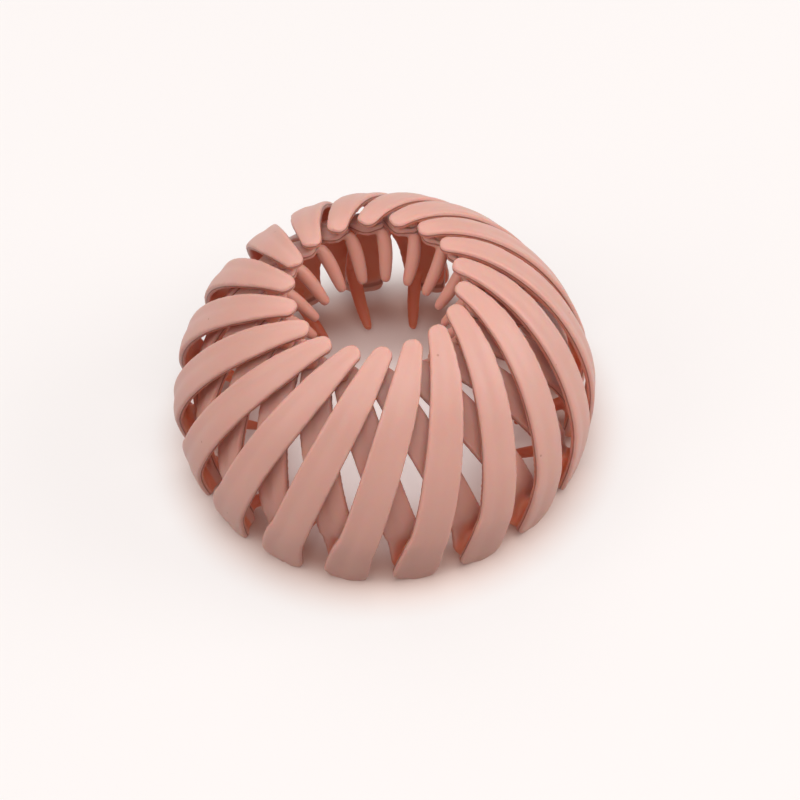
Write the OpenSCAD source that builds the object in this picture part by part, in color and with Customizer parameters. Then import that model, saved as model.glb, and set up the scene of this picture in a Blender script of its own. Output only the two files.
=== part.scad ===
// A twist hair clip: a domed ring of eighteen springy plates around an open eye.
// Each plate is one moulding, a V that stands on its point. Its outer arm climbs the dome
// to the right, and its inner arm climbs behind that to the left. A stud under each outer
// tip sits in a bore of the inner arm that belongs to the plate three places along, which
// closes the ring. Two teeth on each inner arm point in at the hair.
// The clip stands on its heels at z = 0, with its axis on Z and plate_01 at the front.

/* [Dome] */
// Diameter of the clip at its waist
clip_d = 85; // [82:1:88]
// Height of the clip
clip_h = 46; // [44:0.5:47]
// Diameter of the ring on which the outer tips end
eye_d = 33; // [32:1:34]
// Height of the waist above the surface that the clip stands on
waist_h = 12.5; // [12:0.5:13]
// Fullness of the dome's curve, where 1 is an ellipse and more is flatter
fullness = 1.18; // [1.1:0.02:1.26]

/* [Arms] */
// Thickness of both arms
arm_t = 2; // [1.8:0.1:2.2]
// Depth of the inner arm's face behind the outer arm's face
arm_step = 3.9; // [3.7:0.1:4.1]
// Width of the cut along the edges of the arms
edge = 0.55; // [0.4:0.05:0.7]

/* [Teeth] */
// Width of a tooth at its root
tooth_w = 3.2; // [3:0.1:3.4]
// Width of a tooth near its tip
tooth_tip = 2.2; // [2:0.1:2.4]

/* [Stud] */
// Diameter of the stud under each outer tip
stud_d = 1.8; // [1.6:0.1:2]
// Clearance around the stud, and above the arm that it joins
play = 0.15; // [0.1:0.05:0.2]

/* [Hidden] */
NODES = ["plate_01", "plate_02", "plate_03", "plate_04", "plate_05", "plate_06",
         "plate_07", "plate_08", "plate_09", "plate_10", "plate_11", "plate_12",
         "plate_13", "plate_14", "plate_15", "plate_16", "plate_17", "plate_18"];

plate_count = len(NODES);
pitch = 360 / plate_count;
first_az = 3.2;        // azimuth of plate_01's heel, from the front
pinned_ahead = 3;      // how many plates along an outer tip is pinned
pinch = 0.4;           // share of the arms' step that closes at the foot
pinch_end = 0.16;      // place at which the arms reach their full step
nib = 0.001;           // step for slopes

// Angle of the dome's curve where it meets the surface that the clip stands on
foot_angle = -asin(pow(waist_h / (clip_h - waist_h), 1 / fullness));

// Stations along an arm, where place runs from 0 at the foot to 1 at the eye: [place, width]
OUTER_ARM = [
    [-0.008, 5.6], [0.01, 8], [0.035, 9.1], [0.08, 9.1], [0.18, 8.5], [0.3, 7.9], [0.42, 7.8],
    [0.54, 7.6], [0.66, 7.2], [0.77, 6.5], [0.86, 5.4], [0.925, 4.5], [0.965, 4.1],
    [0.987, 3.2], [1, 1.6]];
INNER_ARM = [
    [0.006, 5], [0.022, 7], [0.07, 7.5], [0.15, 7.5], [0.3, 7.5], [0.46, 7.5], [0.6, 7.4],
    [0.74, 7], [0.84, 6.3], [0.875, 5.6], [0.898, 4.4], [0.909, 2.6]];
PLACE = 0;
WIDTH = 1;

// Stations up the web that joins the arms, with the sides of its front, behind the outer
// arm, and of its back, in the inner arm: [place, front left, front right, back left, back right]
WEB = [
    [0.008, -2.2, 2.2, -2.2, 2.2], [0.03, -4.2, 3.6, -2.6, 3],
    [0.08, -4.2, 3.4, -1.6, 2.6], [0.125, -3.2, 2.2, -0.8, 1.6]];

// Stations along a tooth: [radius, height, azimuth from the heel, width]
UPPER_TOOTH = [
    [19.5, 39.7, -30.3, 2.4], [17.9, 37.6, -32, tooth_w], [15.4, 34.5, -33.1, 2.9],
    [13.2, 31.9, -33.1, tooth_tip], [12.7, 31.3, -33.1, 1.3]];
LOWER_TOOTH = [
    [36.8, 7.4, 3.4, tooth_w], [31, 4.7, 2.8, 2.7], [25.9, 2.4, 1.4, tooth_tip],
    [25.2, 2.1, 1.2, 1]];
tooth_depth = 0.85;    // a tooth's thickness over its width

// Where the stud stands, from the heel of its own plate
stud_place = 0.862;
stud_az = 33.5;

function unit(v) = v / norm(v);
function polar(r, z, az) = [r * sin(az), -r * cos(az), z];

// The dome's curve, and its upward slope in the plane of the axis
function dome_angle(s) = foot_angle + (90 - foot_angle) * s;
function dome_r(t) = eye_d / 2 + (clip_d - eye_d) / 2 * pow(max(cos(t), 0), fullness);
function dome_z(t) = waist_h + (clip_h - waist_h) * sign(t) * pow(abs(sin(t)), fullness);
function climb(s) =
    let (a = dome_angle(min(s, 1) - nib), b = dome_angle(min(s + nib, 1)))
    unit([dome_r(b) - dome_r(a), dome_z(b) - dome_z(a)]);
function on_dome(s, az, depth) =
    let (t = dome_angle(s), c = climb(s))
    polar(dome_r(t) - depth * c[1], dome_z(t) + depth * c[0], az);
function outward(s, az) = let (c = climb(s)) polar(c[1], -c[0], az);

// Azimuth from the heel and depth in the dome of each arm's face, at a place along it
function outer_az(s) = 20 * s + 21.5 * pow(s, 3);
function inner_az(s) = -30.5 * pow(s, 2) - 5 * pow(s, 10);
function inner_depth(s) = arm_step * (1 - pinch * pow(max(1 - s / pinch_end, 0), 2));
function arm_point(s, outer) =
    outer ? on_dome(s, outer_az(s), 0) : on_dome(s, inner_az(s), inner_depth(s));

// The directions across an arm and out of its face
function arm_out(s, outer) = outward(s, outer ? outer_az(s) : inner_az(s));
function arm_side(s, outer) =
    unit(cross(arm_point(s + nib, outer) - arm_point(s - nib, outer), arm_out(s, outer)));

// An eight-sided section with cut edges: x across, y down into the dome
function section(w, t) =
    let (e = min(edge, w * 0.3), x = w / 2)
    [[e - x, 0], [x - e, 0], [x, e], [x, t - e], [x - e, t], [e - x, t], [-x, t - e], [-x, e]];

function arm_ring(row, outer) =
    let (s = row[PLACE], here = arm_point(s, outer), side = arm_side(s, outer), out = arm_out(s, outer))
    [for (p = section(row[WIDTH], arm_t)) here + side * p[0] - out * p[1]];

function web_ring(row) =
    let (s = row[PLACE],
         front = arm_point(s, true) - arm_out(s, true) * arm_t / 2,
         back = arm_point(s, false) - arm_out(s, false) * arm_t / 2)
    [front + arm_side(s, true) * row[1], front + arm_side(s, true) * row[2],
     back + arm_side(s, false) * row[4], back + arm_side(s, false) * row[3]];

function tooth_ring(row, slope) =
    let (here = polar(row[0], row[1], row[2]),
         up = polar(-sin(slope), cos(slope), row[2]),
         side = polar(1, 0, row[2] + 90),
         t = row[3] * tooth_depth)
    [for (p = section(row[3], t)) here + side * p[0] + up * (t / 2 - p[1])];

// A solid through rings that all have the same number of points
module loft(rings) {
    n = len(rings[0]);
    last = len(rings) - 1;
    polyhedron(
        points = [for (ring = rings) for (p = ring) p],
        faces = concat(
            [[for (j = [0 : n - 1]) j]],
            [for (i = [0 : last - 1]) for (j = [0 : n - 1]) let (k = (j + 1) % n)
                [i * n + k, i * n + j, (i + 1) * n + j]],
            [for (i = [0 : last - 1]) for (j = [0 : n - 1]) let (k = (j + 1) % n)
                [i * n + k, (i + 1) * n + j, (i + 1) * n + k]],
            [[for (j = [n - 1 : -1 : 0]) last * n + j]]));
}

module outer_arm() { loft([for (row = OUTER_ARM) arm_ring(row, true)]); }

module inner_arm() { loft([for (row = INNER_ARM) arm_ring(row, false)]); }

module web() { loft([for (row = WEB) web_ring(row)]); }

module tooth(rows) {
    first = rows[0];
    last = rows[len(rows) - 1];
    slope = atan2(first[1] - last[1], first[0] - last[0]);
    loft([for (row = rows) tooth_ring(row, slope)]);
}

// A round bar that stands on the dome's normal, between two depths
module peg(d, az, top, bottom) {
    c = climb(stud_place);
    translate(on_dome(stud_place, az, bottom))
        rotate([atan2(c[1], -c[0]), 0, az])
            cylinder(d = d, h = bottom - top, $fn = 32);
}

// The stud's shoulder rests on the inner arm, and its shank fills the bore
module stud() {
    peg(stud_d + 1.4, stud_az, arm_t / 2, arm_step - play);
    peg(stud_d, stud_az, arm_t / 2, arm_step + arm_t);
}

module bore() {
    peg(stud_d + 2 * play, stud_az - pinned_ahead * pitch, arm_step - 1, arm_step + arm_t + 1);
}

// What lies below the surface that the clip stands on, which cuts each heel flat
module ground() {
    translate([0, 0, -5]) cube([2 * clip_d, 2 * clip_d, 10], center = true);
}

module plate(index) {
    color([0.87, 0.67, 0.6]) rotate([0, 0, first_az + index * pitch]) {
        difference() {
            union() {
                outer_arm();
                inner_arm();
                web();
                tooth(UPPER_TOOTH);
                tooth(LOWER_TOOTH);
            }
            bore();
            ground();
        }
        stud();
    }
}

for (i = [0 : plate_count - 1])
    plate(i);
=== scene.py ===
"""Dresses the twist hair clip: eighteen moulded plates with soft edges, in one satin plastic."""

import sys

import logging
import math
import random
from dataclasses import dataclass, field
from enum import Enum

import bmesh
import bpy
from mathutils import Matrix, Vector, noise
from mathutils.kdtree import KDTree


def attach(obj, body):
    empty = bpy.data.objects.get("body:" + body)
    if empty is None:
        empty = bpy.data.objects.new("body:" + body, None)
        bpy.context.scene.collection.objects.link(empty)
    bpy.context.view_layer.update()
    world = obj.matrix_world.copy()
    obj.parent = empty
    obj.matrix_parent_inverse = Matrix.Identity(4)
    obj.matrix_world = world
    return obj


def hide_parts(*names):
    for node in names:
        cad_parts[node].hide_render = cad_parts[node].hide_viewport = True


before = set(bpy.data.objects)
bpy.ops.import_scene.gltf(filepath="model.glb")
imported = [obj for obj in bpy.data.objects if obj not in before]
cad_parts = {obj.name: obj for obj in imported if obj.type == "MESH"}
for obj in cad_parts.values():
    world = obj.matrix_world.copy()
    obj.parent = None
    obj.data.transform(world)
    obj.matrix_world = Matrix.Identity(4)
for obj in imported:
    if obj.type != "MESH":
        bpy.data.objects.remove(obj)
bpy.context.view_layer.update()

log = logging.getLogger("twist_hair_clip")

MM = 0.001
Row = tuple[float, ...]
Span = tuple[float, float]
Colour = tuple[float, float, float]
Ring = list[Vector]


class Ply(Enum):
    """The two arms of a plate."""

    OUTER = "outer_arm"
    INNER = "inner_arm"


def smooth_between(rows: list[Row], column: int, at: float) -> float:
    """Reads a column of a table between its rows, on a curve that never overshoots.

    Args:
        rows: Table rows, sorted by their first column.
        column: Index of the column to read.
        at: Value of the first column to read it at.

    Returns:
        The value on a monotone cubic through the rows.
    """
    x = [row[0] for row in rows]
    y = [row[column] for row in rows]
    if at <= x[0]:
        return y[0]
    if at >= x[-1]:
        return y[-1]
    slope = [(y[i + 1] - y[i]) / (x[i + 1] - x[i]) for i in range(len(x) - 1)]
    tangent = [slope[0]]
    for a, b in zip(slope, slope[1:]):
        tangent.append(0.0 if a * b <= 0 else 2 * a * b / (a + b))
    tangent.append(slope[-1])
    i = max(k for k in range(len(x) - 1) if x[k] <= at)
    h = x[i + 1] - x[i]
    t = (at - x[i]) / h
    return (
        (1 + 2 * t) * (1 - t) ** 2 * y[i]
        + t * (1 - t) ** 2 * h * tangent[i]
        + t * t * (3 - 2 * t) * y[i + 1]
        + t * t * (t - 1) * h * tangent[i + 1]
    )


def ramp(value: float, low: float, high: float) -> float:
    """Rises smoothly from 0 at the low value to 1 at the high value."""
    t = min(max((value - low) / (high - low), 0.0), 1.0)
    return t * t * (3 - 2 * t)


def polar(radius: float, height: float, azimuth: float) -> Vector:
    """Turns a radius, a height and an azimuth from the front, in degrees, into a point."""
    a = math.radians(azimuth)
    return Vector((radius * math.sin(a), -radius * math.cos(a), height))


@dataclass(frozen=True)
class DepthGauge:
    """Tells how deep a point lies under the dome."""

    tree: KDTree
    normals: list[Vector]

    def read(self, point: Vector) -> float:
        """Gives the depth of a point in millimetres, which is negative above the dome."""
        flat = Vector((math.hypot(point.x, point.y), point.z, 0))
        here, i, _ = self.tree.find(flat)
        return (here - flat).dot(self.normals[i])


@dataclass(frozen=True)
class Dome:
    """The domed surface that the outer faces of the plates lie on, in millimetres."""

    clip_d: float = 85.0
    clip_h: float = 46.0
    eye_d: float = 33.0
    waist_h: float = 12.5
    fullness: float = 1.18
    arm_step: float = 3.9
    pinch: float = 0.4
    pinch_end: float = 0.16
    outer_lean: Span = (20.0, 21.5)
    inner_lean: Span = (30.5, 5.0)
    nib: float = 0.001

    @property
    def foot_angle(self) -> float:
        """Angle of the dome's curve at the surface that the clip stands on, in degrees."""
        drop = (self.waist_h / (self.clip_h - self.waist_h)) ** (1 / self.fullness)
        return -math.degrees(math.asin(drop))

    def profile(self, place: float) -> tuple[float, float]:
        """Gives the radius and height of the dome at a place from 0, the foot, to 1, the eye."""
        angle = self.foot_angle + (90 - self.foot_angle) * min(place, 1.0)
        c, s = math.cos(math.radians(angle)), math.sin(math.radians(angle))
        radius = self.eye_d / 2 + (self.clip_d - self.eye_d) / 2 * max(c, 0.0) ** self.fullness
        rise = (self.clip_h - self.waist_h) * abs(s) ** self.fullness
        return radius, self.waist_h + math.copysign(rise, s)

    def climb(self, place: float) -> tuple[float, float]:
        """Gives the unit slope of the dome in the plane of its axis, as (outward, up)."""
        at = min(place, 1.0)
        (r0, z0), (r1, z1) = self.profile(at - self.nib), self.profile(at)
        length = math.hypot(r1 - r0, z1 - z0)
        return (r1 - r0) / length, (z1 - z0) / length

    def point(self, place: float, azimuth: float, depth: float) -> Vector:
        """Gives the point at a place, an azimuth and a depth under the dome."""
        radius, height = self.profile(place)
        out, up = self.climb(place)
        return polar(radius - depth * up, height + depth * out, azimuth)

    def outward(self, place: float, azimuth: float) -> Vector:
        """Gives the dome's outward normal."""
        out, up = self.climb(place)
        return polar(up, -out, azimuth)

    def azimuth(self, ply: Ply, place: float) -> float:
        """Gives the azimuth of an arm's middle from its heel, in degrees."""
        if ply is Ply.OUTER:
            return self.outer_lean[0] * place + self.outer_lean[1] * place**3
        return -self.inner_lean[0] * place**2 - self.inner_lean[1] * place**10

    def depth(self, ply: Ply, place: float) -> float:
        """Gives the depth of an arm's face under the dome."""
        if ply is Ply.OUTER:
            return 0.0
        return self.arm_step * (1 - self.pinch * max(1 - place / self.pinch_end, 0.0) ** 2)

    def depth_gauge(self, steps: int = 1500) -> "DepthGauge":
        """Makes a gauge of the depth of points under the dome."""
        samples = []
        for i in range(steps + 1):
            place = i / steps
            radius, height = self.profile(place)
            out, up = self.climb(place)
            samples.append((Vector((radius, height, 0)), Vector((up, -out, 0))))
        tree = KDTree(len(samples))
        for i, (here, _) in enumerate(samples):
            tree.insert(here, i)
        tree.balance()
        return DepthGauge(tree, [normal for _, normal in samples])

    def middle(self, ply: Ply, place: float) -> Vector:
        """Gives the point on the middle line of an arm's face."""
        return self.point(place, self.azimuth(ply, place), self.depth(ply, place))

    def across(self, ply: Ply, place: float) -> Vector:
        """Gives the unit direction across an arm's face, towards its right edge."""
        along = self.middle(ply, place + self.nib) - self.middle(ply, place - self.nib)
        return along.cross(self.outward(place, self.azimuth(ply, place))).normalized()


def extrude_along(mesh: bmesh.types.BMesh, rings: list[Ring]) -> list[bmesh.types.BMVert]:
    """Extrudes the first ring through the others and closes both ends.

    Args:
        mesh: The mesh that receives the form.
        rings: Rings of points, all with the same number and order of points.

    Returns:
        The vertices of the new form.
    """
    verts = [mesh.verts.new(p) for p in rings[0]]
    edges = [mesh.edges.new((a, b)) for a, b in zip(verts, verts[1:] + verts[:1])]
    made = list(verts)
    bmesh.ops.contextual_create(mesh, geom=edges)
    for ring in rings[1:]:
        grown = bmesh.ops.extrude_edge_only(mesh, edges=edges)["geom"]
        fresh = {g for g in grown if isinstance(g, bmesh.types.BMVert)}
        verts = [
            next(e.other_vert(v) for e in v.link_edges if e.other_vert(v) in fresh) for v in verts
        ]
        for v, p in zip(verts, ring):
            v.co = p
        edges = [mesh.edges.get((a, b)) for a, b in zip(verts, verts[1:] + verts[:1])]
        made += verts
    bmesh.ops.contextual_create(mesh, geom=edges)
    return made


def put_in_order(mesh: bmesh.types.BMesh) -> None:
    """Sorts edges and faces by their corners, because extruding leaves their order to chance.

    Args:
        mesh: The mesh, whose vertices keep their order but are made anew.
    """
    count = len(mesh.verts)
    mesh.verts.index_update()
    for parts in (mesh.edges, mesh.faces):
        corners = {part: sorted(v.index for v in part.verts) for part in parts}
        parts.sort(key=lambda part: corners[part][0] * count + corners[part][-1])
    data = bpy.data.meshes.new("ordered")
    mesh.to_mesh(data)
    mesh.clear()
    mesh.from_mesh(data)
    bpy.data.meshes.remove(data)


def soften_edges(
    mesh: bmesh.types.BMesh, verts: list[bmesh.types.BMVert], width: float, segments: int,
    sharp_angle: float = 38.0,
) -> None:
    """Rounds the sharp edges of a form, after putting its mesh in order.

    Args:
        mesh: The mesh that holds the form.
        verts: The form's vertices, which can't be used afterwards.
        width: Width of the rounding.
        segments: How many faces go round the rounding.
        sharp_angle: Angle over which an edge is sharp, in degrees.
    """
    mesh.verts.index_update()
    own = {v.index for v in verts}
    put_in_order(mesh)
    edges = [e for e in mesh.edges if e.verts[0].index in own and len(e.link_faces) == 2]
    faces = [f for f in mesh.faces if f.verts[0].index in own]
    bmesh.ops.recalc_face_normals(mesh, faces=faces)
    sharp = [e for e in edges if e.calc_face_angle(0.0) > math.radians(sharp_angle)]
    bmesh.ops.bevel(
        mesh, geom=sharp, affect="EDGES", offset=width, offset_type="OFFSET", segments=segments,
        profile=0.5, clamp_overlap=True, material=-1,
    )


@dataclass(frozen=True)
class Blade:
    """One arm of a plate: a gently crowned blade that follows the dome."""

    ply: Ply
    widths: list[Row]
    thickness: float = 2.0
    crown: float = 0.4
    dent: float = 0.28
    dent_at: float = -0.26
    dent_spread: float = 0.3
    face_points: Row = (-1, -0.8, -0.6, -0.4, -0.2, 0, 0.2, 0.4, 0.6, 0.8, 1)
    back_points: Row = (1, 0.33, -0.33, -1)
    edge: float = 0.8
    edge_segments: int = 3
    stations: int = 96
    lead: float = 0.05
    crowding: float = 0.07

    def sink(self, u: float) -> float:
        """Gives how far the face sinks at a share of its half width, by crown and valley."""
        valley = math.exp(-(((u - self.dent_at) / self.dent_spread) ** 2))
        return self.crown * u * u + self.dent * valley

    def section(self, width: float) -> list[tuple[float, float]]:
        """Gives the blade's section, as points across it and down into the dome."""
        half = width / 2
        face = [(half * u, self.sink(u)) for u in self.face_points]
        back = [(half * u, self.thickness) for u in self.back_points]
        return face + back

    def place(self, share: float) -> float:
        """Gives the place of a station from its share of them all, closer together at the ends."""
        first, last = self.widths[0][0], self.widths[-1][0]
        crowded = self.crowding * math.sin(2 * math.pi * share)
        eased = share + self.lead * math.sin(math.pi * share) - crowded
        return first + (last - first) * eased

    def build(self, mesh: bmesh.types.BMesh, dome: Dome) -> None:
        """Adds the blade to a mesh.

        Args:
            mesh: The mesh that receives the blade.
            dome: The surface that it follows.
        """
        rings = []
        for i in range(self.stations + 1):
            place = self.place(i / self.stations)
            width = smooth_between(self.widths, 1, place)
            here, side = dome.middle(self.ply, place), dome.across(self.ply, place)
            out = dome.outward(place, dome.azimuth(self.ply, place))
            rings.append([here + side * x - out * y for x, y in self.section(width)])
        soften_edges(mesh, extrude_along(mesh, rings), self.edge, self.edge_segments)


@dataclass(frozen=True)
class Web:
    """The bridge at the heel that joins the two arms.

    Each row has a place, then the left and right sides in the outer arm and in the inner arm.
    """

    rows: tuple[Row, ...] = (
        (0.002, -2.5, 2.8, -2.5, 2.6), (0.015, -3.1, 3.7, -3.1, 3.3), (0.04, -2.9, 3.8, -2.7, 3.2),
        (0.08, -2.1, 3.5, -1.9, 2.7), (0.125, -1.2, 2.3, -0.9, 1.7),
    )
    thickness: float = 2.0

    def build(self, mesh: bmesh.types.BMesh, dome: Dome) -> None:
        """Adds the web to a mesh.

        Args:
            mesh: The mesh that receives the web.
            dome: The surface that the arms follow.
        """
        rings = []
        for place, front_left, front_right, back_left, back_right in self.rows:
            corners = []
            for ply, offset in (
                (Ply.OUTER, front_left), (Ply.OUTER, front_right),
                (Ply.INNER, back_right), (Ply.INNER, back_left),
            ):
                out = dome.outward(place, dome.azimuth(ply, place))
                mid = dome.middle(ply, place) - out * self.thickness / 2
                corners.append(mid + dome.across(ply, place) * offset)
            rings.append(corners)
        extrude_along(mesh, rings)


@dataclass(frozen=True)
class Tooth:
    """A comb tooth, oval in section, that tapers to a round tip.

    Each row has a radius, a height, an azimuth from the heel and a width.
    """

    rows: list[Row]
    depth_share: float = 0.85
    sides: int = 12
    stations: int = 18

    def build(self, mesh: bmesh.types.BMesh) -> None:
        """Adds the tooth to a mesh.

        Args:
            mesh: The mesh that receives the tooth.
        """
        first, last = self.rows[0], self.rows[-1]
        slope = math.atan2(first[1] - last[1], first[0] - last[0])
        lengths = [0.0]
        for a, b in zip(self.rows, self.rows[1:]):
            lengths.append(lengths[-1] + (polar(*b[:3]) - polar(*a[:3])).length)
        table = [(length, *row) for length, row in zip(lengths, self.rows)]
        rings = []
        for i in range(self.stations + 1):
            at = lengths[-1] * i / self.stations
            radius, height, azimuth, width = (smooth_between(table, c, at) for c in (1, 2, 3, 4))
            here = polar(radius, height, azimuth)
            up = polar(-math.sin(slope), math.cos(slope), azimuth)
            side = polar(1, 0, azimuth + 90)
            wide, deep = side * width / 2, up * width / 2 * self.depth_share
            turns = [math.tau * k / self.sides for k in range(self.sides)]
            rings.append([here + wide * math.cos(t) + deep * math.sin(t) for t in turns])
        extrude_along(mesh, rings)


@dataclass(frozen=True)
class Stud:
    """The hidden stud under an outer tip, and the bore that takes the next plate's one."""

    place: float = 0.862
    azimuth: float = 33.5
    diameter: float = 1.8
    shoulder: float = 1.4
    play: float = 0.15
    turned_back: float = 60.0
    sides: int = 40
    shoulder_top: float = 1.0
    shank_top: float = 1.5
    shank_reach: float = 2.0
    bore_above: float = 1.0
    bore_below: float = 3.0

    def peg(
        self, dome: Dome, azimuth: float, diameter: float, top: float, bottom: float
    ) -> bpy.types.Object:
        """Makes a round bar on the dome's normal.

        Args:
            dome: The surface that the depths are measured from.
            azimuth: Where the bar stands, in degrees from the heel.
            diameter: The bar's diameter.
            top: Depth of its outer end.
            bottom: Depth of its inner end.

        Returns:
            The bar as a new object.
        """
        a, b = dome.point(self.place, azimuth, top), dome.point(self.place, azimuth, bottom)
        turn = (a - b).to_track_quat("Z", "Y").to_matrix().to_4x4()
        mesh = bmesh.new()
        bmesh.ops.create_cone(
            mesh, cap_ends=True, segments=self.sides, radius1=diameter / 2, radius2=diameter / 2,
            depth=(a - b).length, matrix=Matrix.Translation((a + b) / 2) @ turn,
        )
        return as_object(mesh, "peg")


def as_object(mesh: bmesh.types.BMesh, name: str) -> bpy.types.Object:
    """Turns a bmesh into an object in the scene, and frees the bmesh."""
    data = bpy.data.meshes.new(name)
    mesh.to_mesh(data)
    mesh.free()
    made = bpy.data.objects.new(name, data)
    bpy.context.scene.collection.objects.link(made)
    return made


def apply_modifiers(obj: bpy.types.Object) -> None:
    """Replaces an object's mesh by what its modifiers make of it."""
    graph = bpy.context.evaluated_depsgraph_get()
    result = bpy.data.meshes.new_from_object(obj.evaluated_get(graph))
    old = obj.data
    obj.modifiers.clear()
    obj.data = result
    bpy.data.meshes.remove(old)


def combine(obj: bpy.types.Object, other: bpy.types.Object, operation: str) -> None:
    """Cuts another solid out of an object, or joins it on, and removes the other.

    Args:
        obj: The object that changes.
        other: The solid that is cut out or joined on.
        operation: DIFFERENCE or UNION.
    """
    step = obj.modifiers.new("combine", "BOOLEAN")
    step.object, step.operation, step.solver = other, operation, "MANIFOLD"
    apply_modifiers(obj)
    data = other.data
    bpy.data.objects.remove(other)
    bpy.data.meshes.remove(data)


def object_space(tree: bpy.types.NodeTree) -> bpy.types.NodeSocket:
    """Gives the socket of the object's own coordinates."""
    return tree.nodes.new("ShaderNodeTexCoord").outputs["Object"]


def calculate(
    tree: bpy.types.NodeTree, operation: str, first: bpy.types.NodeSocket,
    second: bpy.types.NodeSocket | float = 0.0,
) -> bpy.types.NodeSocket:
    """Adds a Math node.

    Args:
        tree: The node tree that receives it.
        operation: What it works out, such as SUBTRACT.
        first: The socket that feeds its first input.
        second: The socket that feeds its second input, or the value of that input.

    Returns:
        The node's output.
    """
    made = tree.nodes.new("ShaderNodeMath")
    made.operation = operation
    tree.links.new(first, made.inputs[0])
    if isinstance(second, bpy.types.NodeSocket):
        tree.links.new(second, made.inputs[1])
    else:
        made.inputs[1].default_value = second
    return made.outputs[0]


@dataclass(frozen=True)
class RosePlastic:
    """Satin dusty-rose plastic that lets a little light through.

    Attributes:
        painted_inside_shade: Darker, redder colour painted on the faces within the clip, as painted
            shade and painted red light bounced through the plastic.
        glow_scale: How far light goes through the plastic, in metres.
        mottle: Scale and detail of the noise that mottles the colour and the sheen.
        roughness_spread: What the mottling takes from the roughness, and adds to it.
        line_depths: Depths of the parting lines under the dome, in millimetres.
        speck_sizes: Distances from a speck's middle at which it starts and ends to fade.
        grains: Scale, detail, strength and height of each noise in the relief.
        line_relief: Strength and height of the parting line.
    """

    rose: Colour = (0.595, 0.336, 0.284)
    pale: Colour = (0.635, 0.371, 0.316)
    # Painted shade: the darker, redder colour of the faces within the clip.
    painted_inside_shade: Colour = (0.71, 0.235, 0.135)
    glow_weight: float = 0.6
    glow_radius: Colour = (1.0, 0.2, 0.09)
    glow_scale: float = 0.0015
    refraction: float = 1.46
    mottle: Span = (90, 3)
    roughness: float = 0.42
    roughness_spread: Span = (-0.05, 0.06)
    line_depths: Span = (1.0, 4.9)
    line_width: float = 0.22
    # Dark colour of the parting line, partly the line itself and partly painted shade along the
    # arms' sides.
    line_and_painted_shade: Colour = (0.62, 0.48, 0.44)
    speck_shade: Colour = (0.72, 0.62, 0.58)
    speck_scale: float = 150
    speck_sizes: Span = (0.02, 0.05)
    grains: tuple[Row, ...] = ((2600, 2, 0.35, 0.00003), (240, 1, 0.5, 0.00012))
    line_relief: Span = (0.9, 0.00014)

    def node(
        self, tree: bpy.types.NodeTree, kind: str, values: dict[str, float]
    ) -> bpy.types.Node:
        """Adds a node with the given input values."""
        made = tree.nodes.new(kind)
        for name, value in values.items():
            made.inputs[name].default_value = value
        return made

    def noise(
        self, tree: bpy.types.NodeTree, scale: float, detail: float
    ) -> bpy.types.NodeSocket:
        """Adds object-space noise and gives its output."""
        made = self.node(tree, "ShaderNodeTexNoise", {"Scale": scale, "Detail": detail})
        tree.links.new(object_space(tree), made.inputs["Vector"])
        return made.outputs["Fac"]

    def specks(self, tree: bpy.types.NodeTree) -> bpy.types.NodeSocket:
        """Draws sparse specks of dust in the plastic, and gives a socket that is 1 on a speck."""
        cells = self.node(tree, "ShaderNodeTexVoronoi", {"Scale": self.speck_scale})
        tree.links.new(object_space(tree), cells.inputs["Vector"])
        start, end = self.speck_sizes
        spot = self.node(tree, "ShaderNodeMapRange", {
            "From Min": start, "From Max": end, "To Min": 1.0, "To Max": 0.0,
        })
        tree.links.new(cells.outputs["Distance"], spot.inputs["Value"])
        return spot.outputs["Result"]

    def attribute(self, tree: bpy.types.NodeTree, name: str) -> bpy.types.NodeSocket:
        """Reads a number that is stored at each vertex."""
        made = tree.nodes.new("ShaderNodeAttribute")
        made.attribute_name = name
        return made.outputs["Fac"]

    def parting_line(self, tree: bpy.types.NodeTree) -> bpy.types.NodeSocket:
        """Draws the mould's parting line half way through the thickness of each arm; its dark
        colour is partly the line itself and partly painted shade along the arms' sides.

        Args:
            tree: The material's node tree.

        Returns:
            A socket that is 1 on the line and 0 away from it.
        """
        depth = self.attribute(tree, "depth")
        outer, inner = (
            calculate(tree, "ABSOLUTE", calculate(tree, "SUBTRACT", depth, line))
            for line in self.line_depths
        )
        edge = self.node(tree, "ShaderNodeMapRange", {
            "From Min": self.line_width / 4, "From Max": self.line_width,
            "To Min": 1.0, "To Max": 0.0,
        })
        edge.interpolation_type = "SMOOTHSTEP"
        tree.links.new(calculate(tree, "MINIMUM", outer, inner), edge.inputs["Value"])
        return edge.outputs["Result"]

    def make(self) -> bpy.types.Material:
        """Makes the material, with mottling, a fine moulded grain, the parting line and painted
        shade within the clip.
        """
        made = bpy.data.materials.new("rose_plastic")
        made.use_nodes = True
        tree = made.node_tree
        shader = tree.nodes["Principled BSDF"]
        for name, value in {
            "Subsurface Weight": self.glow_weight, "Subsurface Radius": self.glow_radius,
            "Subsurface Scale": self.glow_scale, "IOR": self.refraction,
        }.items():
            shader.inputs[name].default_value = value
        line = self.parting_line(tree)
        mottle = self.noise(tree, *self.mottle)

        tint = tree.nodes.new("ShaderNodeMix")
        tint.data_type = "RGBA"
        tint.inputs["A"].default_value = (*self.rose, 1)
        tint.inputs["B"].default_value = (*self.pale, 1)
        tree.links.new(mottle, tint.inputs["Factor"])
        colour = tint.outputs["Result"]
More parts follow.
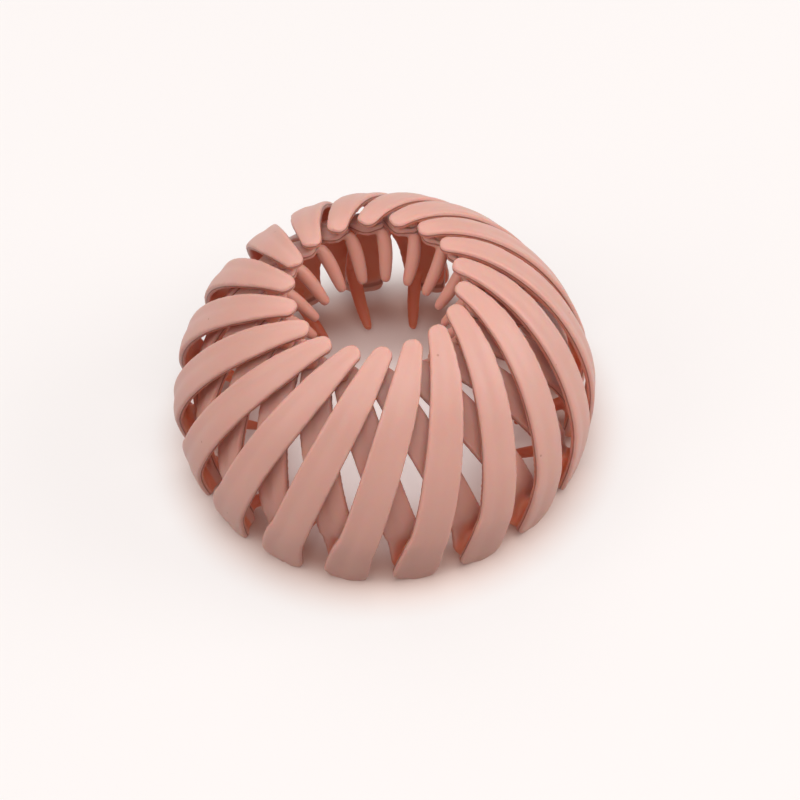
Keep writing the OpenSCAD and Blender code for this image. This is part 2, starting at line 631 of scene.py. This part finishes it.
        # Colour layers: painted shade within the clip, the parting line, whose darkness is partly
        # painted shade too, and specks of dust.
        for factor, shade, blend in (
            (self.attribute(tree, "painted_inside_shade"), self.painted_inside_shade, "MIX"),
            (line, self.line_and_painted_shade, "MULTIPLY"),
            (self.specks(tree), self.speck_shade, "MULTIPLY"),
        ):
            layer = tree.nodes.new("ShaderNodeMix")
            layer.data_type, layer.blend_type = "RGBA", blend
            layer.inputs["B"].default_value = (*shade, 1)
            tree.links.new(factor, layer.inputs["Factor"])
            tree.links.new(colour, layer.inputs["A"])
            colour = layer.outputs["Result"]
        tree.links.new(colour, shader.inputs["Base Color"])

        less, more = self.roughness_spread
        sheen = self.node(tree, "ShaderNodeMapRange", {
            "To Min": self.roughness + less, "To Max": self.roughness + more,
        })
        tree.links.new(mottle, sheen.inputs["Value"])
        tree.links.new(sheen.outputs["Result"], shader.inputs["Roughness"])

        reliefs = [
            (self.noise(tree, scale, detail), strength, distance)
            for scale, detail, strength, distance in self.grains
        ]
        normal = None
        for height, strength, distance in (*reliefs, (line, *self.line_relief)):
            bump = self.node(tree, "ShaderNodeBump", {"Strength": strength, "Distance": distance})
            tree.links.new(height, bump.inputs["Height"])
            if normal:
                tree.links.new(normal, bump.inputs["Normal"])
            normal = bump.outputs["Normal"]
        tree.links.new(normal, shader.inputs["Normal"])
        return made


@dataclass(frozen=True)
class GateMark:
    """The rough spot on an outer arm's heel where the mould's gate was cut off, in millimetres."""

    place: float
    offset: float
    radius: float = 1.3
    sunk: float = 0.34
    unevenness: float = 0.9
    grain: float = 2.4

    def press(self, mesh: bmesh.types.BMesh, dome: Dome, shift: Vector) -> None:
        """Presses the mark into a plate.

        Args:
            mesh: The plate's mesh, at the front position.
            dome: The surface that its outer arm follows.
            shift: Where the mark's roughness is read in the noise.
        """
        here = dome.middle(Ply.OUTER, self.place) + dome.across(Ply.OUTER, self.place) * self.offset
        out = dome.outward(self.place, dome.azimuth(Ply.OUTER, self.place))
        for v in mesh.verts:
            reach = (v.co - here).length / self.radius
            if reach < 1:
                rough = 1 + self.unevenness * noise.noise(v.co * self.grain + shift)
                v.co -= out * self.sunk * rough * (1 - reach * reach)


@dataclass(frozen=True)
class PaintedInsideShade:
    """How much painted shade a point gets, by where it lies, in millimetres: a darker, redder
    colour for shade and red bounced light in the clip's hollows.

    Each span is where a share sets in, by depth under the dome if nothing else is said.

    Attributes:
        side_share: Share on the outer arm's sides, below the parting line.
        back_share: Share that its back has besides.
        back_end: Where both end again, in the gap between the arms.
        facing_share: Share on the inner arm's outer face.
        eye: Heights at which light from the eye sets in.
        eye_share: Share that this light takes away from the inner arm's back.
        valley_share: Share that the slot at the heel has besides.
        slot: Distances from the slot's middle at which its share ends.
    """

    side_share: float = 0.4
    side: Span = (0.9, 1.2)
    back_share: float = 0.6
    back: Span = (1.4, 1.9)
    back_end: Span = (3.0, 3.6)
    facing_share: float = 0.15
    facing: Span = (3.2, 3.8)
    within: Span = (4.7, 5.5)
    eye: Span = (26.0, 33.0)
    eye_share: float = 0.75
    valley_share: float = 0.75
    valley: Span = (1.5, 2.1)
    slot: Span = (0.9, 2.8)

    def amount(self, depth: float, height: float, from_slot: float) -> float:
        """Gives the share of painted shade at a point, from 0 to 1.

        Args:
            depth: Its depth under the dome.
            height: Its height above the surface that the clip stands on.
            from_slot: Its distance from the middle of the slot at the heel.

        Returns:
            The share of the painted shade's colour.
        """
        arm = self.side_share * ramp(depth, *self.side) + self.back_share * ramp(depth, *self.back)
        behind = arm * (1 - ramp(depth, *self.back_end))
        lit = ramp(height, *self.eye)
        within = ramp(depth, *self.within) * (1 - self.eye_share * lit)
        facing = self.facing_share * ramp(depth, *self.facing) * (1 - lit)
        valley = self.valley_share * ramp(depth, *self.valley) * (1 - ramp(from_slot, *self.slot))
        return min(behind + max(within, facing) + valley, 1.0)


@dataclass(frozen=True)
class Plate:
    """One moulding: two arms on a heel, with two teeth and a stud.

    Attributes:
        voxel: Size of the cells of the skin that joins the forms.
        smoothing: How often the whole skin is smoothed.
        hollow_top: Height under which the hollow of the heel is smoothed more.
        hollow_depths: Depths between which it is smoothed more.
        hollow_smoothing: How often it is smoothed more.
        slot_top: Place up to which the slot at the heel goes.
        slot_side: How far the slot's middle lies to the left of the outer arm's middle.
        slot_depth: How deep it lies under the dome.
        slot_samples: How many points stand for it.
        sliver: Length under which edges are closed.
        digits: Decimals to which the forms' points are rounded, to be the same each run.
        painted_shade: The painted shade of the faces within the clip.
    """

    dome: Dome = field(default_factory=Dome)
    outer: Blade = field(default_factory=lambda: Blade(Ply.OUTER, [
        (-0.006, 3.6), (0.0, 5.6), (0.008, 7.3), (0.02, 8.5), (0.04, 9.05), (0.08, 9.1),
        (0.18, 8.5), (0.3, 7.9), (0.42, 7.8), (0.54, 7.6), (0.66, 7.2), (0.77, 6.5), (0.86, 5.4),
        (0.925, 4.6), (0.955, 4.25), (0.97, 3.86), (0.98, 3.3), (0.99, 2.4), (0.998, 1.2),
    ]))
    inner: Blade = field(default_factory=lambda: Blade(Ply.INNER, [
        (0.0, 5.2), (0.012, 6.8), (0.03, 7.5), (0.07, 7.6), (0.15, 7.5), (0.3, 7.5), (0.46, 7.5),
        (0.6, 7.4), (0.74, 7.0), (0.84, 6.3), (0.875, 5.6), (0.898, 4.4), (0.91, 2.6),
    ]))
    web: Web = field(default_factory=Web)
    upper_tooth: Tooth = field(default_factory=lambda: Tooth([
        (19.5, 39.7, -30.3, 2.6), (17.9, 37.6, -32.0, 3.2), (15.4, 34.5, -33.1, 2.95),
        (13.2, 31.9, -33.1, 2.35), (12.7, 31.3, -33.1, 1.7),
    ]))
    lower_tooth: Tooth = field(default_factory=lambda: Tooth([
        (36.8, 7.4, 3.4, 3.1), (31.0, 4.7, 2.8, 2.8), (25.9, 2.4, 1.4, 2.0), (25.3, 2.15, 1.2, 1.3),
    ]))
    stud: Stud = field(default_factory=Stud)
    voxel: float = 0.34
    smoothing: int = 5
    hollow_top: float = 12.0
    hollow_depths: Span = (1.7, 4.3)
    hollow_smoothing: int = 8
    slot_top: float = 0.15
    slot_side: float = 3.2
    slot_depth: float = 2.6
    slot_samples: int = 60
    sliver: float = 0.03
    digits: int = 2
    painted_shade: PaintedInsideShade = PaintedInsideShade()

    def build(self) -> bpy.types.Mesh:
        """Makes the plate at the front position, in millimetres.

        Returns:
            The plate's mesh, which the caller owns.
        """
        mesh = bmesh.new()
        self.outer.build(mesh, self.dome)
        self.inner.build(mesh, self.dome)
        self.web.build(mesh, self.dome)
        self.upper_tooth.build(mesh)
        self.lower_tooth.build(mesh)
        bmesh.ops.recalc_face_normals(mesh, faces=mesh.faces)
        for v in mesh.verts:
            v.co = [round(c, self.digits) for c in v.co]
        moulding = as_object(mesh, "moulding")
        skin = moulding.modifiers.new("one_skin", "REMESH")
        skin.mode, skin.voxel_size, skin.adaptivity = "VOXEL", self.voxel, 0.0
        apply_modifiers(moulding)
        self.relax(moulding)
        self.pin(moulding)
        self.weld(moulding)
        data = moulding.data
        bpy.data.objects.remove(moulding)
        self.gauge(data)
        return data

    def slot(self) -> KDTree:
        """Finds the middle of the slot between the arms at the heel.

        Returns:
            A tree of points along it.
        """
        made = KDTree(self.slot_samples)
        for i in range(self.slot_samples):
            place = self.slot_top * i / self.slot_samples
            out = self.dome.outward(place, self.dome.azimuth(Ply.OUTER, place))
            side = self.dome.across(Ply.OUTER, place)
            left = self.dome.middle(Ply.OUTER, place) - side * self.slot_side
            made.insert(left - out * self.slot_depth, i)
        made.balance()
        return made

    def gauge(self, data: bpy.types.Mesh) -> None:
        """Stores how deep each vertex lies under the dome, and how much painted shade it gets.

        Args:
            data: The plate's mesh, which gets the attributes "depth", in millimetres, and
            "painted_inside_shade", the share of painted shade, which is 1 on the faces that only
            see light through the plastic.
        """
        dial, slot = self.dome.depth_gauge(), self.slot()
        depths = [dial.read(v.co) for v in data.vertices]
        painted_shade_shares = [
            self.painted_shade.amount(depth, v.co.z, slot.find(v.co)[2])
            for v, depth in zip(data.vertices, depths)
        ]
        for name, values in (("depth", depths), ("painted_inside_shade", painted_shade_shares)):
            data.attributes.new(name, "FLOAT", "POINT").data.foreach_set("value", values)

    def relax(self, moulding: bpy.types.Object) -> None:
        """Smooths the skin, most of all in the hollow of the heel, and stands it on the ground."""
        mesh = bmesh.new()
        mesh.from_mesh(moulding.data)
        dial = self.dome.depth_gauge()
        shallow, deep = self.hollow_depths
        whole = list(mesh.verts)
        hollow = [v for v in whole if v.co.z < self.hollow_top and shallow < dial.read(v.co) < deep]
        for verts, rounds in ((whole, self.smoothing), (hollow, self.hollow_smoothing), (whole, 1)):
            for _ in range(rounds):
                bmesh.ops.smooth_vert(
                    mesh, verts=verts, factor=0.5,
                    use_axis_x=True, use_axis_y=True, use_axis_z=True,
                )
        for v in mesh.verts:
            v.co.z = max(v.co.z, 0.0)
        mesh.to_mesh(moulding.data)
        mesh.free()

    def pin(self, moulding: bpy.types.Object) -> None:
        """Cuts the bore, and joins on the stud with its shoulder."""
        s, step = self.stud, self.dome.arm_step
        for azimuth, diameter, top, bottom, operation in (
            (s.azimuth - s.turned_back, s.diameter + 2 * s.play,
             step - s.bore_above, step + s.bore_below, "DIFFERENCE"),
            (s.azimuth, s.diameter + s.shoulder, s.shoulder_top, step - s.play, "UNION"),
            (s.azimuth, s.diameter, s.shank_top, step + s.shank_reach, "UNION"),
        ):
            combine(moulding, s.peg(self.dome, azimuth, diameter, top, bottom), operation)

    def weld(self, moulding: bpy.types.Object) -> None:
        """Closes the slivers that the cuts leave."""
        mesh = bmesh.new()
        mesh.from_mesh(moulding.data)
        bmesh.ops.remove_doubles(mesh, verts=mesh.verts, dist=self.sliver)
        bmesh.ops.dissolve_degenerate(mesh, edges=mesh.edges, dist=self.sliver)
        bmesh.ops.triangulate(mesh, faces=[f for f in mesh.faces if len(f.verts) > 4])
        mesh.to_mesh(moulding.data)
        mesh.free()


@dataclass(frozen=True)
class Clip:
    """The whole clip: the plates in their places round the axis.

    Attributes:
        gates: Gate marks, by the plate's number from the front.
        swell: How far the unevenness swells a plate, in millimetres.
        swell_bias: Level of the noise that leaves a face where it is.
        swell_scale: Size of the unevenness, in millimetres.
        shift_range: How far apart the plates read the noise.
        seed: Seed of the first plate's unevenness.
        crease: Angle over which an edge is shaded sharp, in degrees.
    """

    plate: Plate = field(default_factory=Plate)
    finish: RosePlastic = field(default_factory=RosePlastic)
    gates: dict[int, GateMark] = field(default_factory=lambda: {
        0: GateMark(0.02, -3.6, 0.9, 0.2), 15: GateMark(0.02, -3.2, 1.0, 0.25),
        16: GateMark(0.012, 0.8), 17: GateMark(0.022, -3.4),
    })
    swell: float = 0.09
    swell_bias: float = 0.4
    swell_scale: float = 9.0
    shift_range: float = 9.0
    seed: int = 400
    crease: float = 50.0
    count: int = 18
    first_azimuth: float = 3.2

    def build(self) -> None:
        """Makes every plate and puts it in the place of its CAD node."""
        master = self.plate.build()
        material = self.finish.make()
        for i in range(self.count):
            name = f"plate_{i + 1:02d}"
            data = master.copy()
            self.wear(data, i)
            turn = Matrix.Rotation(math.radians(self.first_azimuth + i * 360 / self.count), 4, "Z")
            data.transform(Matrix.Scale(MM, 4) @ turn)
            data.materials.clear()
            data.materials.append(material)
            data.shade_smooth()
            data.set_sharp_from_angle(angle=math.radians(self.crease))
            made = bpy.data.objects.new(f"dressed_{name}", data)
            bpy.context.scene.collection.objects.link(made)
            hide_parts(name)
            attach(made, "root")
            log.info("%s: %d faces", made.name, len(data.polygons))
        bpy.data.meshes.remove(master)

    def wear(self, data: bpy.types.Mesh, index: int) -> None:
        """Gives a plate the slight unevenness of a moulding.

        Args:
            data: The plate's mesh, in millimetres and at the front position.
            index: The plate's number from the front, which seeds its unevenness.
        """
        draw = random.Random(self.seed + index)
        shift = Vector([draw.uniform(-self.shift_range, self.shift_range) for _ in range(3)])
        mesh = bmesh.new()
        mesh.from_mesh(data)
        if index in self.gates:
            self.gates[index].press(mesh, self.plate.dome, shift)
        for v in mesh.verts:
            level = noise.noise(v.co / self.swell_scale + shift) - self.swell_bias
            v.co += v.normal * level * self.swell
            v.co.z = max(v.co.z, 0.0)
        mesh.to_mesh(data)
        mesh.free()


@dataclass(frozen=True)
class Lamp:
    """A square soft light that looks at the clip.

    Attributes:
        azimuth: Its direction from the clip, in degrees from the front towards the right.
        elevation: Its height above the horizon, in degrees.
        size: Side of the square, in metres.
        distance: How far it hangs from the clip, in metres.
    """

    name: str
    azimuth: float
    elevation: float
    size: float
    watts: float
    colour: Colour
    distance: float = 1.2

    def hang(self) -> None:
        """Puts the light in its place."""
        data = bpy.data.lights.new(self.name, "AREA")
        data.size, data.energy, data.color = self.size, self.watts, self.colour
        made = bpy.data.objects.new(self.name, data)
        e = math.radians(self.elevation)
        away = polar(math.cos(e), math.sin(e), self.azimuth)
        made.location = away * self.distance
        made.rotation_mode = "QUATERNION"
        made.rotation_quaternion = away.to_track_quat("Z", "Y")
        bpy.context.scene.collection.objects.link(made)


@dataclass(frozen=True)
class Studio:
    """A pale floor with painted shade and glow, soft light and the camera, in millimetres and
    degrees.

    Attributes:
        elevation: The camera's height above the horizon.
        roll: How far the camera is turned about its line of sight.
        frame_width: What the picture is wide at the clip.
        aim: The point that the camera is set by.
        aim_right: How far the picture's middle lies to the right of it.
        aim_up: How far the picture's middle lies above it.
        lens: The camera's focal length.
        sensor: Width of its sensor.
        sight: Nearest and farthest distance that it sees, in metres.
        floor_size: Half the floor's side, in metres.
        floor_reach: Radius up to which the floor's painted shade and glow go.
        floor_shift: How far their middle lies in front of the clip's axis, which draws the painted
            shadow further out in front.
        floor_painted_shade: Radius and colour of each stop of the floor's colour, darker and pinker
            near the clip as painted shadow and painted red light from the plastic.
        floor_painted_glow: Radius and strength of each stop of the floor's glow, painted light that
            brightens the floor seen through the eye and lightens the clip's shadow outside it.
    """

    elevation: float = 49.7
    roll: float = 5.22
    frame_width: float = 160.3
    aim: tuple[float, float, float] = (0.0, 0.0, 16.9)
    aim_right: float = 3.39
    aim_up: float = -4.59
    lens: float = 1350.0
    sensor: float = 36.0
    sight: Span = (0.1, 20.0)
    floor_size: float = 3.0
    floor_reach: float = 60.0
    floor_shift: float = 2.0
    # Painted shadow and painted red light: the floor's colour, darker and pinker near the clip.
    floor_painted_shade: tuple[Row, ...] = (
        (8.0, 0.85, 0.81, 0.79), (24.0, 0.78, 0.64, 0.58),
        (34.0, 0.70, 0.55, 0.49), (49.0, 0.31, 0.302, 0.30),
    )
    # Painted light: the floor glows under the eye and outside the clip.
    floor_painted_glow: tuple[Row, ...] = ((14.0, 0.34), (27.0, 0.11), (34.0, 0.0), (49.0, 0.58))
    floor_light: Colour = (1.0, 0.975, 0.965)
    floor_roughness: float = 0.9
    floor_shine: float = 0.1
    air: Colour = (1, 0.75, 0.67)
    air_strength: float = 0.32
    lamps: tuple[Lamp, ...] = (
        Lamp("sky", 15, 74, 1.0, 8.7, (1, 0.99, 0.98)),
        Lamp("sheen", -165, 48, 0.8, 3.3, (1, 0.99, 0.98)),
        Lamp("left", -75, 38, 0.8, 4.4, (1, 0.985, 0.97)),
        Lamp("right", 90, 28, 0.8, 7.6, (1, 0.985, 0.97)),
        Lamp("front", 0, 6, 0.6, 1.45, (1, 0.95, 0.90)),
    )

    def camera(self) -> None:
        """Makes a view at the photograph's angle, through a lens with hardly any perspective."""
        e, r = math.radians(self.elevation), math.radians(self.roll)
        back = Vector((0, -math.cos(e), math.sin(e)))
        right, up = Vector((1, 0, 0)), Vector((0, math.sin(e), math.cos(e)))
        across = right * math.cos(r) - up * math.sin(r)
        upward = up * math.cos(r) + right * math.sin(r)
        data = bpy.data.cameras.new("camera")
        data.lens, data.sensor_width = self.lens, self.sensor
        data.clip_start, data.clip_end = self.sight
        distance = self.lens * self.frame_width / self.sensor
        made = bpy.data.objects.new("camera", data)
        place = Vector(self.aim) + across * self.aim_right + upward * self.aim_up + back * distance
        turn = Matrix((across, upward, back)).transposed().to_4x4()
        made.matrix_world = Matrix.Translation(place * MM) @ turn
        bpy.context.scene.collection.objects.link(made)
        bpy.context.scene.camera = made

    def floor(self) -> None:
        """Lays a wide pale floor, with painted light from below in the clip's middle and outside
        it, and painted shadow, darker and pinker, near the clip.
        """
        mesh = bmesh.new()
        bmesh.ops.create_grid(mesh, x_segments=2, y_segments=2, size=self.floor_size)
        made = as_object(mesh, "floor")
        finish = bpy.data.materials.new("floor_with_painted_light_and_shade")
        finish.use_nodes = True
        tree = finish.node_tree
        shader = tree.nodes["Principled BSDF"]
        shifted = tree.nodes.new("ShaderNodeVectorMath")
        shifted.operation = "ADD"
        shifted.inputs[1].default_value = (0, self.floor_shift * MM, 0)
        tree.links.new(object_space(tree), shifted.inputs[0])
        length = tree.nodes.new("ShaderNodeVectorMath")
        length.operation = "LENGTH"
        tree.links.new(shifted.outputs["Vector"], length.inputs[0])
        reach = calculate(tree, "DIVIDE", length.outputs["Value"], self.floor_reach * MM)
        # Painted shade and painted glow on the floor, by distance from a point just in front of the
        # clip's axis.
        for stops, socket in (
            (self.floor_painted_shade, "Base Color"), (self.floor_painted_glow, "Emission Strength"),
        ):
            rings = tree.nodes.new("ShaderNodeValToRGB")
            rings.color_ramp.interpolation = "EASE"
            marks = rings.color_ramp.elements
            while len(marks) < len(stops):
                marks.new(0.5)
            for mark, (radius, *colour) in zip(marks, stops):
                mark.position = radius / self.floor_reach
                mark.color = (*(colour * 3)[:3], 1)
            tree.links.new(reach, rings.inputs["Fac"])
            tree.links.new(rings.outputs["Color"], shader.inputs[socket])
        shader.inputs["Emission Color"].default_value = (*self.floor_light, 1)
        shader.inputs["Roughness"].default_value = self.floor_roughness
        shader.inputs["Specular IOR Level"].default_value = self.floor_shine
        made.data.materials.append(finish)
        made.visible_diffuse = False

    def build(self) -> None:
        """Makes the camera, the floor and the light."""
        self.camera()
        self.floor()
        world = bpy.data.worlds.new("studio")
        world.use_nodes = True
        background = world.node_tree.nodes["Background"]
        background.inputs["Color"].default_value = (*self.air, 1)
        background.inputs["Strength"].default_value = self.air_strength
        bpy.context.scene.world = world
        for lamp in self.lamps:
            lamp.hang()
        view = bpy.context.scene.view_settings
        view.view_transform, view.look = "Standard", "None"
        log.info("studio: camera, floor and lights")


def main() -> None:
    """Builds the clip and the studio."""
    logging.basicConfig(level=logging.INFO, format="%(name)s: %(message)s", stream=sys.stdout)
    Clip().build()
    Studio().build()


if __name__ == "__main__":
    main()
